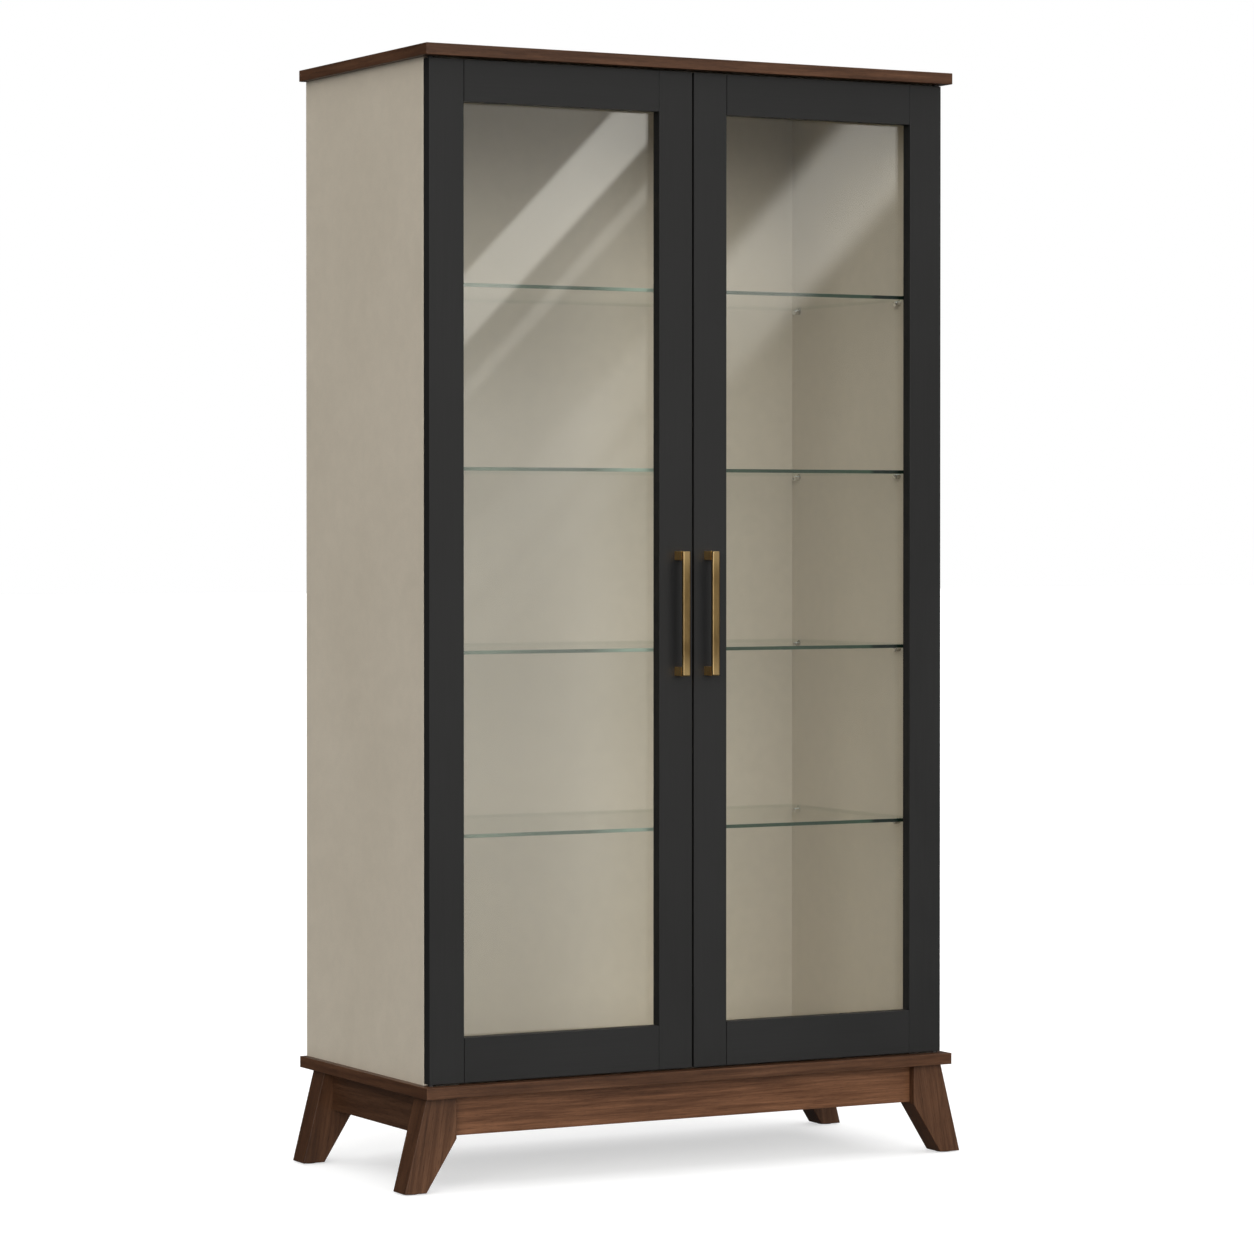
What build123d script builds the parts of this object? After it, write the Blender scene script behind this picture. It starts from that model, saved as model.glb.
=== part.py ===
from build123d import *
import os

# China cabinet with two glass doors, four glass shelves and splayed legs. Millimetres.
# +X is the right-hand side seen from the front, -Y the front, +Z up.
# The origin is on the floor, below the centre of the whole object's box, handles included.

# Boards and case
WIDTH = 1000.0
DEPTH = 496.0
BOARD = 19.0
CASE_HEIGHT = 1660.0
PANEL = 18.0
SIDE_OVERHANG = 13.0
FRONT_OVERHANG = 17.0
BACK_PANEL = 4.0
BACK_RECESS = 8.0
GROOVE_DEPTH = 6.0

# Legs and aprons
LEG_HEIGHT = 155.0
LEG_THICKNESS = 45.0
LEG_TOP_INSET = 9.5
LEG_TOP_WIDTH = 54.0
LEG_STRAIGHT = 68.0
FOOT_SPREAD = 29.5
FOOT_WIDTH = 39.0
FRONT_LEG_SETBACK = 20.5
BACK_LEG_SETBACK = 35.5
APRON_HEIGHT = 65.0
APRON_THICKNESS = 18.0
APRON_RECESS = 14.5
BLOCK_HEIGHT = 32.0
BLOCK_REACH = 62.0
GLIDE_HEIGHT = 2.0
GLIDE_RADIUS = 13.0

# Doors
DOOR_THICKNESS = 21.0
DOOR_EDGE_GAP = 3.0
DOOR_CENTRE_GAP = 4.0
DOOR_BACK_GAP = 1.8
STILE = 62.0
TOP_RAIL = 68.0
BOTTOM_RAIL = 73.0
GLASS = 4.0
GLASS_LAP = 9.0
GLASS_SEAT = 1.0
BEAD_LAP = 6.0
BEAD_SEAT = 8.0
BEAD_LIP = 2.0
DOWEL_RADIUS = 4.0
JOINT_GROOVE = 1.0
JOINT_GROOVE_DEPTH = 2.0

# Handles
HANDLE_HEIGHT = 933.0
HANDLE_CENTRES = 192.0
HANDLE_EDGE = 26.0
HANDLE_WIDTH = 14.0
HANDLE_STANDOFF = 23.0
BAR_DEPTH = 6.5
POST_HEIGHT = 15.0

# Pivot hinges
PIVOT_FROM_EDGE = 6.0
PIVOT_FROM_FACE = 8.0
PIN_RADIUS = 2.5
PIN_CLEARANCE = 0.05
PIN_REACH = 13.0
LEAF = 2.0
LEAF_WIDTH = 10.0
LEAF_CENTRES = 46.0
LEAF_SCREWS = (20.0, 40.0)
WASHER_RADIUS = 4.8
RUNNING_GAP = 0.3

# Shelves
SHELF = 6.0
SHELF_COUNT = 4
SHELF_PITCH = 299.0
SHELF_TOP_CENTRE = 1470.0
SHELF_FRONT = 56.0
SHELF_SIDE_GAP = 1.5
SHELF_BACK_GAP = 2.0
SUPPORT_ROWS = (120.0, 460.0)
SUPPORT_RADIUS = 6.5
SUPPORT_LENGTH = 11.0
SUPPORT_DROP = 1.0
SUPPORT_FLANGE = 1.0
PAD = 1.0
PAD_RADIUS = 4.0

# Fixings
SCREW_RIM = 0.3
SCREW_CROSS = 0.8
LEAF_SCREW_HEAD = 3.2
LEAF_SCREW_SHANK = 1.6
LEAF_SCREW = 14.0
CATCH_SCREW = 24.0
BOARD_SCREW_HEAD = 4.0
BOARD_SCREW_SHANK = 2.0
BOARD_SCREW = 30.0
BLOCK_SCREW = 44.0
BACK_SCREW_HEAD = 3.5
BACK_SCREW_SHANK = 1.5
BACK_SCREW = 20.0
HANDLE_SCREW_HEAD = 4.0
HANDLE_SCREW_SHANK = 2.0
HANDLE_SCREW = 30.0
CAM_RADIUS = 7.5
CAM_DEPTH = 13.5
CAM_FROM_END = 34.0
CAM_BOLT_RADIUS = 3.0
CAM_BOLT_IN_SIDE = 10.0
CAM_FROM_EDGE = 50.0
CASE_DOWEL = 36.0
CASE_DOWEL_FROM_EDGE = 90.0
CASE_DOWEL_IN_SIDE = 11.0
DOOR_DOWEL = 50.0
DOOR_DOWEL_SHARES = (0.3, 0.7)
BOARD_SCREW_ROW = (-330.0, 0.0, 330.0)
BOARD_SCREW_FROM_EDGE = 60.0
BACK_SCREW_ROW = (-420.0, -210.0, 0.0, 210.0, 420.0)
APRON_SCREW_INSET = (15.0, 12.0)
SIDE_SCREW_INSET = (12.0, 22.0)
BORE_CLEARANCE = 0.5
NAIL_RADIUS = 1.5
NAIL_LENGTH = 14.0
SUPPORT_PIN = 2.5
SUPPORT_PIN_LENGTH = 9.0
SUPPORT_EASE = 1.2

# Magnetic catch
CATCH_HALF_WIDTH = 25.0
CATCH_DEPTH = 17.0
CATCH_HEIGHT = 12.0
CATCH_GAP = 1.0
CATCH_SCREW_SHARE = 0.7
MAGNET_CENTRE = 16.0
MAGNET_HALF_WIDTH = 7.0
MAGNET_DEPTH = 5.7
MAGNET_HALF_HEIGHT = 4.0
STRIKE_HALF_WIDTH = 8.0
STRIKE_HALF_HEIGHT = 6.0
STRIKE = 1.0

# Edge easing
BOARD_EASE = 1.0
PANEL_EASE = 0.6
DOOR_EASE = 0.7
SHELF_EASE = 0.6
LEG_EASE = 1.2
BAR_EASE = 2.2
SMALL_EASE = 1.0

# Planes worked out from the sizes above
HALF = WIDTH / 2
HANDLE_REACH = HANDLE_STANDOFF + BAR_DEPTH
Y_BACK = (DEPTH + HANDLE_REACH - FRONT_OVERHANG) / 2
Y_BOARD = Y_BACK - DEPTH
Y_DOOR = Y_BOARD + FRONT_OVERHANG
Y_DOOR_BACK = Y_DOOR + DOOR_THICKNESS
Y_CASE = Y_DOOR_BACK + DOOR_BACK_GAP
Y_BACK_PANEL = Y_BACK - BACK_RECESS - BACK_PANEL
X_OUT = HALF - SIDE_OVERHANG
X_IN = X_OUT - PANEL
Z_BASE = LEG_HEIGHT + BOARD
Z_TOP = Z_BASE + CASE_HEIGHT
Z_CEILING = Z_TOP - PANEL
Z_DOOR_LOW = Z_BASE + DOOR_EDGE_GAP
Z_DOOR_HIGH = Z_TOP - DOOR_EDGE_GAP
Z_GLASS_LOW = Z_DOOR_LOW + BOTTOM_RAIL
Z_GLASS_HIGH = Z_DOOR_HIGH - TOP_RAIL
X_MEET = DOOR_CENTRE_GAP / 2
X_GLASS_IN = X_MEET + STILE
X_GLASS_OUT = X_OUT - STILE
X_PIVOT = X_OUT - PIVOT_FROM_EDGE
Y_PIVOT = Y_DOOR + PIVOT_FROM_FACE
X_LEG_IN = HALF - LEG_TOP_INSET - LEG_TOP_WIDTH
X_SIDE_APRON_OUT = HALF - LEG_TOP_INSET - APRON_RECESS
X_SIDE_APRON_IN = X_SIDE_APRON_OUT - APRON_THICKNESS
Y_FRONT_LEG = Y_BOARD + FRONT_LEG_SETBACK
Y_BACK_LEG = Y_BACK - BACK_LEG_SETBACK - LEG_THICKNESS
Y_FRONT_APRON = Y_FRONT_LEG + APRON_RECESS
Y_BACK_APRON = Y_BACK_LEG + LEG_THICKNESS - APRON_RECESS - APRON_THICKNESS
SHELF_CENTRES = [SHELF_TOP_CENTRE - SHELF_PITCH * i for i in range(SHELF_COUNT)]
SIDES = {"left": -1, "right": 1}
UP, DOWN, BACKWARD, FORWARD = (0, 0, 1), (0, 0, -1), (0, 1, 0), (0, -1, 0)


def block(x0, x1, y0, y1, z0, z1):
    """A box between two opposite corners, given in either order."""
    size = Box(abs(x1 - x0), abs(y1 - y0), abs(z1 - z0))
    return Pos((x0 + x1) / 2, (y0 + y1) / 2, (z0 + z1) / 2) * size


def rod(start, direction, radius, length):
    """A cylinder that grows from start along direction."""
    grow = (Align.CENTER, Align.CENTER, Align.MIN)
    return Plane(origin=start, z_dir=direction).location * Cylinder(radius, length, align=grow)


def eased(solid, size, axis=None):
    """The solid with its edges rounded, all of them or those along one axis."""
    edges = solid.edges().filter_by(axis) if axis else solid.edges()
    return fillet(edges, size)


def turned(outline, origin, direction):
    """The outline, as (radius, distance) points, turned about a line from origin along direction."""
    face = make_face(Polyline(*outline, close=True))
    return Plane(origin=origin, z_dir=direction).location * revolve(Rot(90, 0, 0) * face, Axis.Z)


def flat_screw(head, direction, head_radius, shank_radius, length):
    """A countersunk screw whose flat head lies flush at head."""
    cone_end = SCREW_RIM + head_radius - shank_radius
    outline = [
        (0, 0),
        (head_radius, 0),
        (head_radius, SCREW_RIM),
        (shank_radius, cone_end),
        (shank_radius, length - 2 * shank_radius),
        (0, length),
    ]
    return turned(outline, head, direction)


def pan_screw(seat, direction, head_radius, shank_radius, length):
    """A screw whose raised, crossed head stands on the surface at seat."""
    rise = head_radius / 2
    crown = 0.6 * head_radius
    outline = [
        (0, -rise),
        (crown, -rise),
        (head_radius, -0.4 * rise),
        (head_radius, 0),
        (shank_radius, 0),
        (shank_radius, length - 2 * shank_radius),
        (0, length),
    ]
    cross = Box(2 * crown, SCREW_CROSS, rise) + Box(SCREW_CROSS, 2 * crown, rise)
    place = Plane(origin=seat, z_dir=direction).location
    return turned(outline, seat, direction) - place * Pos(0, 0, -rise) * cross


def without(solid, *pieces):
    """The solid with a pocket or hole where each piece goes."""
    for piece in pieces:
        solid = solid - piece
    return solid


def save(name, *shapes):
    """Write one node; several solids stay separate inside it."""
    solids = [solid for shape in shapes for solid in shape.solids()]
    whole = solids[0] if len(solids) == 1 else Compound(children=solids)
    whole.label = name
    export_step(whole, f"parts/{name}.step")


def leaf(s, z):
    """A hinge leaf's outline, LEAF thick, with its underside at z; s is -1 at the left, 1 at the right."""
    plate = extrude(SlotCenterToCenter(LEAF_CENTRES, LEAF_WIDTH), LEAF)
    return Pos(s * (X_PIVOT - LEAF_CENTRES / 2), Y_PIVOT, z) * plate


def leaf_screws(s, z, direction):
    """The screws of one leaf, their heads flush with its face at z."""
    places = [(s * (X_PIVOT - along), Y_PIVOT, z) for along in LEAF_SCREWS]
    return [flat_screw(place, direction, LEAF_SCREW_HEAD, LEAF_SCREW_SHANK, LEAF_SCREW) for place in places]


def leg(s, y_front):
    """One leg: upright inside for the apron's height, then splayed to a narrower foot."""
    top_out = HALF - LEG_TOP_INSET
    foot_out = HALF + FOOT_SPREAD
    outline = [
        (s * top_out, LEG_HEIGHT),
        (s * X_LEG_IN, LEG_HEIGHT),
        (s * X_LEG_IN, LEG_HEIGHT - LEG_STRAIGHT),
        (s * (foot_out - FOOT_WIDTH), GLIDE_HEIGHT),
        (s * foot_out, GLIDE_HEIGHT),
    ]
    plane = Plane(origin=(0, y_front + LEG_THICKNESS, 0), x_dir=(1, 0, 0), z_dir=FORWARD)
    solid = extrude(plane * make_face(Polyline(*outline, close=True)), LEG_THICKNESS)
    below_top = solid.edges().filter_by_position(Axis.Z, 0, LEG_HEIGHT - LEG_EASE)
    return fillet(below_top, LEG_EASE)


def glide(s, y_front):
    """A round nylon glide with its nail, under the middle of a foot."""
    x = s * (HALF + FOOT_SPREAD - FOOT_WIDTH / 2)
    y = y_front + LEG_THICKNESS / 2
    disc = rod((x, y, 0), UP, GLIDE_RADIUS, GLIDE_HEIGHT)
    return disc + rod((x, y, GLIDE_HEIGHT), UP, NAIL_RADIUS, NAIL_LENGTH)


def corner_block(s, y_apron, y_leg, inward):
    """A block wrapped round a leg's inner corner, against both aprons and under the base board."""
    outline = [
        (s * X_LEG_IN, y_apron),
        (s * (X_LEG_IN - BLOCK_REACH), y_apron),
        (s * X_SIDE_APRON_IN, y_leg + inward * BLOCK_REACH),
        (s * X_SIDE_APRON_IN, y_leg),
        (s * X_LEG_IN, y_leg),
    ]
    face = make_face(Polyline(*outline, close=True))
    # The face's normal follows the order of its points, so the prism is put in place by its box.
    prism = extrude(face, BLOCK_HEIGHT)
    return Pos(0, 0, LEG_HEIGHT - BLOCK_HEIGHT - prism.bounding_box().min.Z) * prism


def shelf_support(s, y, z_pad):
    """A round support with a ledge for the shelf, a thin flange beside it and a pin into the side panel."""
    z = z_pad - SUPPORT_DROP
    inside = SUPPORT_FLANGE / 2
    reach = 2 * SUPPORT_RADIUS
    knob = rod((s * X_IN, y, z), (-s, 0, 0), SUPPORT_RADIUS, SUPPORT_LENGTH)
    knob = fillet(knob.edges().filter_by(GeomType.CIRCLE), SUPPORT_EASE)
    x_ledge = s * (X_IN - SUPPORT_FLANGE)
    knob = knob - block(x_ledge, 0, y - reach, y + reach, z_pad, z_pad + reach)
    return knob + rod((s * (X_IN - inside), y, z), (s, 0, 0), SUPPORT_PIN, SUPPORT_PIN_LENGTH + inside)


def case_fixings():
    """Everything that holds the case panels together, as lists of solids by node."""
    cams = []
    bolts = []
    dowels = []
    levels = [(Z_BASE + PANEL / 2, Z_BASE, UP), (Z_CEILING + PANEL / 2, Z_TOP, DOWN)]
    for s in SIDES.values():
        for z, z_face, into in levels:
            for y in (Y_CASE + CAM_FROM_EDGE, Y_BACK_PANEL - CAM_FROM_EDGE):
                length = CAM_BOLT_IN_SIDE + CAM_FROM_END
                bolt = rod((s * (X_IN + CAM_BOLT_IN_SIDE), y, z), (-s, 0, 0), CAM_BOLT_RADIUS, length)
                bolts.append(bolt)
                cams.append(rod((s * (X_IN - CAM_FROM_END), y, z_face), into, CAM_RADIUS, CAM_DEPTH) - bolt)
            for y in (Y_CASE + CASE_DOWEL_FROM_EDGE, Y_BACK_PANEL - CASE_DOWEL_FROM_EDGE):
                start = (s * (X_IN + CASE_DOWEL_IN_SIDE), y, z)
                dowels.append(rod(start, (-s, 0, 0), DOWEL_RADIUS, CASE_DOWEL))
    rows = (Y_CASE + BOARD_SCREW_FROM_EDGE, Y_BACK_PANEL - BOARD_SCREW_FROM_EDGE)
    places = [(x, y) for x in BOARD_SCREW_ROW for y in rows]
    board_screws = [
        flat_screw((x, y, z), UP, BOARD_SCREW_HEAD, BOARD_SCREW_SHANK, BOARD_SCREW)
        for x, y in places
        for z in (LEG_HEIGHT, Z_CEILING)
    ]
    back_screws = [
        pan_screw((x, Y_BACK_PANEL + BACK_PANEL, z), FORWARD, BACK_SCREW_HEAD, BACK_SCREW_SHANK, BACK_SCREW)
        for x in BACK_SCREW_ROW
        for z, _, _ in levels
    ]
    return {
        "cam_locks": cams,
        "cam_bolts": bolts,
        "carcass_dowels": dowels,
        "board_screws": board_screws,
        "back_panel_screws": back_screws,
    }


def case_hinges():
    """The leaves and pins in the two boards, their washers and their screws."""
    leaves = []
    washers = []
    screws = []
    for s in SIDES.values():
        for z_face, z_leaf, out, into in ((Z_TOP, Z_TOP, DOWN, UP), (Z_BASE, Z_BASE - LEAF, UP, DOWN)):
            pivot = (s * X_PIVOT, Y_PIVOT, z_face)
            fixings = leaf_screws(s, z_face, into)
            leaves.append(without(leaf(s, z_leaf) + rod(pivot, out, PIN_RADIUS, PIN_REACH), *fixings))
            thickness = DOOR_EDGE_GAP - RUNNING_GAP
            hole = rod(pivot, out, PIN_RADIUS + PIN_CLEARANCE, thickness)
            washers.append(rod(pivot, out, WASHER_RADIUS, thickness) - hole)
            screws += fixings
    return leaves, washers, screws


def catch():
    """A double magnetic catch under the front of the top panel."""
    y_front = Y_DOOR_BACK + CATCH_GAP
    z_low = Z_CEILING - CATCH_HEIGHT
    magnets = []
    for s in SIDES.values():
        x0 = s * (MAGNET_CENTRE - MAGNET_HALF_WIDTH)
        x1 = s * (MAGNET_CENTRE + MAGNET_HALF_WIDTH)
        y0 = Y_DOOR_BACK + RUNNING_GAP
        z = z_low + CATCH_HEIGHT / 2
        magnets.append(block(x0, x1, y0, y0 + MAGNET_DEPTH, z - MAGNET_HALF_HEIGHT, z + MAGNET_HALF_HEIGHT))
    body = block(-CATCH_HALF_WIDTH, CATCH_HALF_WIDTH, y_front, y_front + CATCH_DEPTH, z_low, Z_CEILING)
    places = [(s * MAGNET_CENTRE, y_front + CATCH_SCREW_SHARE * CATCH_DEPTH, z_low) for s in SIDES.values()]
    screws = [flat_screw(place, UP, LEAF_SCREW_HEAD, LEAF_SCREW_SHANK, CATCH_SCREW) for place in places]
    body = without(eased(body, SMALL_EASE, Axis.Z), *magnets, *screws)
    return body, magnets, screws


def base():
    """Base board's legs, aprons, corner blocks, glides and the blocks' screws."""
    z_apron = LEG_HEIGHT - APRON_HEIGHT
    glides = []
    for name, s in SIDES.items():
        for place, y in (("front", Y_FRONT_LEG), ("back", Y_BACK_LEG)):
            foot = glide(s, y)
            glides.append(foot)
            save(f"leg_{place}_{name}", leg(s, y) - foot)
        y_ends = (Y_FRONT_LEG + LEG_THICKNESS, Y_BACK_LEG)
        side_apron = block(s * X_SIDE_APRON_OUT, s * X_SIDE_APRON_IN, *y_ends, z_apron, LEG_HEIGHT)
        save(f"apron_{name}", eased(side_apron, PANEL_EASE, Axis.Y))
    save("foot_glides", *glides)
    for name, y in (("front", Y_FRONT_APRON), ("back", Y_BACK_APRON)):
        apron = block(-X_LEG_IN, X_LEG_IN, y, y + APRON_THICKNESS, z_apron, LEG_HEIGHT)
        save(f"apron_{name}", eased(apron, PANEL_EASE, Axis.X))
    z_block = LEG_HEIGHT - BLOCK_HEIGHT
    blocks = []
    screws = []
    corners = [
        (Y_FRONT_APRON + APRON_THICKNESS, Y_FRONT_LEG + LEG_THICKNESS, 1),
        (Y_BACK_APRON, Y_BACK_LEG, -1),
    ]
    for s in SIDES.values():
        for y_apron, y_leg, inward in corners:
            by_apron = (s * (X_LEG_IN - APRON_SCREW_INSET[0]), y_apron + inward * APRON_SCREW_INSET[1])
            by_side = (s * (X_SIDE_APRON_IN - SIDE_SCREW_INSET[0]), y_leg + inward * SIDE_SCREW_INSET[1])
            pair = [
                flat_screw((x, y, z_block), UP, BOARD_SCREW_HEAD, BOARD_SCREW_SHANK, BLOCK_SCREW)
                for x, y in (by_apron, by_side)
            ]
            blocks.append(without(corner_block(s, y_apron, y_leg, inward), *pair))
            screws += pair
    save("corner_blocks", *blocks)
    save("base_frame_screws", *screws)
    return screws


def shelves():
    """Glass shelves on sixteen supports; returns the supports for their holes."""
    supports = []
    pads = []
    for number, z in enumerate(SHELF_CENTRES, start=1):
        low = z - SHELF / 2
        x = X_IN - SHELF_SIDE_GAP
        pane = block(-x, x, Y_BOARD + SHELF_FRONT, Y_BACK_PANEL - SHELF_BACK_GAP, low, low + SHELF)
        save(f"glass_shelf_{number}", eased(pane, SHELF_EASE))
        for s in SIDES.values():
            for row in SUPPORT_ROWS:
                y = Y_BOARD + row
                supports.append(shelf_support(s, y, low - PAD))
                pads.append(rod((s * (X_IN - SUPPORT_LENGTH / 2), y, low - PAD), UP, PAD_RADIUS, PAD))
    save("shelf_supports", *supports)
    save("shelf_support_pads", *pads)
    return supports


def case():
    """Boards, panels and everything that stays still."""
    fixings = case_fixings()
    leaves, washers, leaf_fixings = case_hinges()
    catch_body, magnets, catch_screws = catch()
    block_screws = base()
    supports = shelves()
    joints = fixings["cam_bolts"] + fixings["carcass_dowels"]
    ends = fixings["cam_locks"] + joints + fixings["board_screws"] + fixings["back_panel_screws"]

    x_back = X_IN + GROOVE_DEPTH
    back = block(-x_back, x_back, Y_BACK_PANEL, Y_BACK_PANEL + BACK_PANEL, Z_BASE, Z_TOP)
    save("back_panel", without(back, *fixings["back_panel_screws"]))
    for name, s in SIDES.items():
        side = eased(block(s * X_IN, s * X_OUT, Y_CASE, Y_BACK, Z_BASE, Z_TOP), PANEL_EASE, Axis.Z)
        save(f"side_panel_{name}", without(side, back, *joints, *supports))
    for name, z in (("carcass_bottom_panel", Z_BASE), ("carcass_top_panel", Z_CEILING)):
        panel = block(-X_IN, X_IN, Y_CASE, Y_BACK_PANEL, z, z + PANEL)
        save(name, without(panel, *ends, *catch_screws))
    for name, z in (("base_board", LEG_HEIGHT), ("top_board", Z_TOP)):
        board = eased(block(-HALF, HALF, Y_BOARD, Y_BACK, z, z + BOARD), BOARD_EASE)
        save(name, without(board, *leaves, *leaf_fixings, *fixings["board_screws"], *block_screws))
    for name, solids in fixings.items():
        save(name, *solids)
    save("hinge_case_leaves", *leaves)
    save("hinge_washers", *washers)
    save("case_hardware_screws", *leaf_fixings, *catch_screws)
    save("catch_body", catch_body)
    save("catch_magnets", *magnets)


def door_frame(s):
    """Two stiles and two rails before any hole is cut, by part name. A fine groove shows at each joint."""
    pieces = {
        "hinge_stile": block(s * X_GLASS_OUT, s * X_OUT, Y_DOOR, Y_DOOR_BACK, Z_DOOR_LOW, Z_DOOR_HIGH),
        "meeting_stile": block(s * X_MEET, s * X_GLASS_IN, Y_DOOR, Y_DOOR_BACK, Z_DOOR_LOW, Z_DOOR_HIGH),
        "top_rail": block(s * X_GLASS_IN, s * X_GLASS_OUT, Y_DOOR, Y_DOOR_BACK, Z_GLASS_HIGH, Z_DOOR_HIGH),
        "bottom_rail": block(s * X_GLASS_IN, s * X_GLASS_OUT, Y_DOOR, Y_DOOR_BACK, Z_DOOR_LOW, Z_GLASS_LOW),
    }
    frame = {name: eased(piece, DOOR_EASE) for name, piece in pieces.items()}
    bottom = Y_DOOR + JOINT_GROOVE_DEPTH
    grooves = [
        block(s * x, s * (x + JOINT_GROOVE), Y_DOOR, bottom, Z_DOOR_LOW, Z_DOOR_HIGH)
        for x in (X_GLASS_IN, X_GLASS_OUT - JOINT_GROOVE)
    ]
    return {name: without(piece, *grooves) if "rail" in name else piece for name, piece in frame.items()}


def door_glazing(s):
    """The pane against the frame's back, and the four beads that hold it."""
    x0 = X_GLASS_IN - GLASS_LAP
    x1 = X_GLASS_OUT + GLASS_LAP
    z0 = Z_GLASS_LOW - GLASS_LAP
    z1 = Z_GLASS_HIGH + GLASS_LAP
    y0 = Y_DOOR_BACK - GLASS_SEAT
    pane = block(s * x0, s * x1, y0, y0 + GLASS, z0, z1)
    y1 = y0 + GLASS + BEAD_LIP
    low, high = z0 - BEAD_SEAT, z1 + BEAD_SEAT
    outer = block(s * (x0 - BEAD_SEAT), s * (x1 + BEAD_SEAT), Y_DOOR_BACK, y1, low, high)
    inner = block(s * (x0 + BEAD_LAP), s * (x1 - BEAD_LAP), Y_DOOR_BACK, y1, z0 + BEAD_LAP, z1 - BEAD_LAP)
    ring = eased(outer, DOOR_EASE, Axis.Y) - inner - pane
    middle = block(s * (x0 + BEAD_LAP), s * (x1 - BEAD_LAP), Y_DOOR_BACK, y1, low, high)
    beads = [*(ring & middle).solids(), *(ring - middle).solids()]
    return pane, beads


def door_handle(s):
    """A flat bar on two posts, each held by a screw through the stile."""
    x = s * (X_MEET + HANDLE_EDGE)
    half = HANDLE_WIDTH / 2
    y_post = Y_DOOR - HANDLE_STANDOFF
    reach = (HANDLE_CENTRES + POST_HEIGHT) / 2
    bar = block(x - half, x + half, y_post - BAR_DEPTH, y_post, HANDLE_HEIGHT - reach, HANDLE_HEIGHT + reach)
    posts = []
    screws = []
    for z in (HANDLE_HEIGHT - HANDLE_CENTRES / 2, HANDLE_HEIGHT + HANDLE_CENTRES / 2):
        fixing = pan_screw((x, Y_DOOR_BACK, z), FORWARD, HANDLE_SCREW_HEAD, HANDLE_SCREW_SHANK, HANDLE_SCREW)
        post = block(x - half, x + half, y_post, Y_DOOR, z - POST_HEIGHT / 2, z + POST_HEIGHT / 2)
        posts.append(eased(post, SMALL_EASE, Axis.Y) - fixing)
        screws.append(fixing)
    return eased(bar, BAR_EASE), posts, screws


def door_hinges(s):
    """Leaves let into the stile's ends, the bores under them and their screws."""
    leaves = []
    bores = []
    screws = []
    for z_face, z_leaf, into in ((Z_DOOR_HIGH, Z_DOOR_HIGH - LEAF, DOWN), (Z_DOOR_LOW, Z_DOOR_LOW, UP)):
        pivot = (s * X_PIVOT, Y_PIVOT, z_face)
        fixings = leaf_screws(s, z_face, into)
        hole = rod(pivot, into, PIN_RADIUS + PIN_CLEARANCE, LEAF)
        leaves.append(without(leaf(s, z_leaf), hole, *fixings))
        bores += [leaf(s, z_leaf), rod(pivot, into, PIN_RADIUS + BORE_CLEARANCE, PIN_REACH + BORE_CLEARANCE)]
        screws += fixings
    return leaves, bores, screws


def door(name, s):
    """One glazed door; s is -1 for the left door, 1 for the right."""
    frame = door_frame(s)
    pane, beads = door_glazing(s)
    bar, posts, handle_screws = door_handle(s)
    leaves, bores, hinge_screws = door_hinges(s)
    z_catch = Z_CEILING - CATCH_HEIGHT / 2
    strike = block(
        s * (MAGNET_CENTRE - STRIKE_HALF_WIDTH),
        s * (MAGNET_CENTRE + STRIKE_HALF_WIDTH),
        Y_DOOR_BACK - STRIKE,
        Y_DOOR_BACK,
        z_catch - STRIKE_HALF_HEIGHT,
        z_catch + STRIKE_HALF_HEIGHT,
    )
    rails = ((Z_DOOR_LOW, Z_GLASS_LOW), (Z_GLASS_HIGH, Z_DOOR_HIGH))
    heights = [low + share * (high - low) for low, high in rails for share in DOOR_DOWEL_SHARES]
    y_middle = Y_DOOR + DOOR_THICKNESS / 2
    dowels = [
        rod((s * x - DOOR_DOWEL / 2, y_middle, z), (1, 0, 0), DOWEL_RADIUS, DOOR_DOWEL)
        for x in (X_GLASS_IN, X_GLASS_OUT)
        for z in heights
    ]
    cuts = [pane, *dowels, *bores, *hinge_screws, *handle_screws, strike]
    for part, solid in frame.items():
        save(f"{name}_door_{part}", without(solid, *cuts))
    save(f"{name}_door_glass", pane)
    save(f"{name}_door_glazing_beads", *beads)
    save(f"{name}_door_dowels", *dowels)
    save(f"{name}_door_handle_bar", bar)
    save(f"{name}_door_handle_posts", *posts)
    save(f"{name}_door_handle_screws", *handle_screws)
    save(f"{name}_door_hinge_leaves", *leaves)
    save(f"{name}_door_hinge_screws", *hinge_screws)
    save(f"{name}_door_strike_plate", strike)


os.makedirs("parts", exist_ok=True)
case()
for door_name, door_side in SIDES.items():
    door(door_name, door_side)
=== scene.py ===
import math

import bpy
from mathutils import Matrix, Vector


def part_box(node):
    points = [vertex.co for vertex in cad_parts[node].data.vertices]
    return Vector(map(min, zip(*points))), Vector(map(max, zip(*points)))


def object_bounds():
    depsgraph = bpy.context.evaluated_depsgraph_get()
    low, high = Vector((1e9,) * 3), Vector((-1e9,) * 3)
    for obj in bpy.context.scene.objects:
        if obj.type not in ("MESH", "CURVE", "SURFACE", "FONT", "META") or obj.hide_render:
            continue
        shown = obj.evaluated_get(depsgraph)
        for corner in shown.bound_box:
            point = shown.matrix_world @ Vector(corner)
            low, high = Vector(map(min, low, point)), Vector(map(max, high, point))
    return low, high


# Looks for the china cabinet: procedural materials for every node, studio light and the camera.
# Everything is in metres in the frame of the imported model. The front faces -Y.

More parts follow.
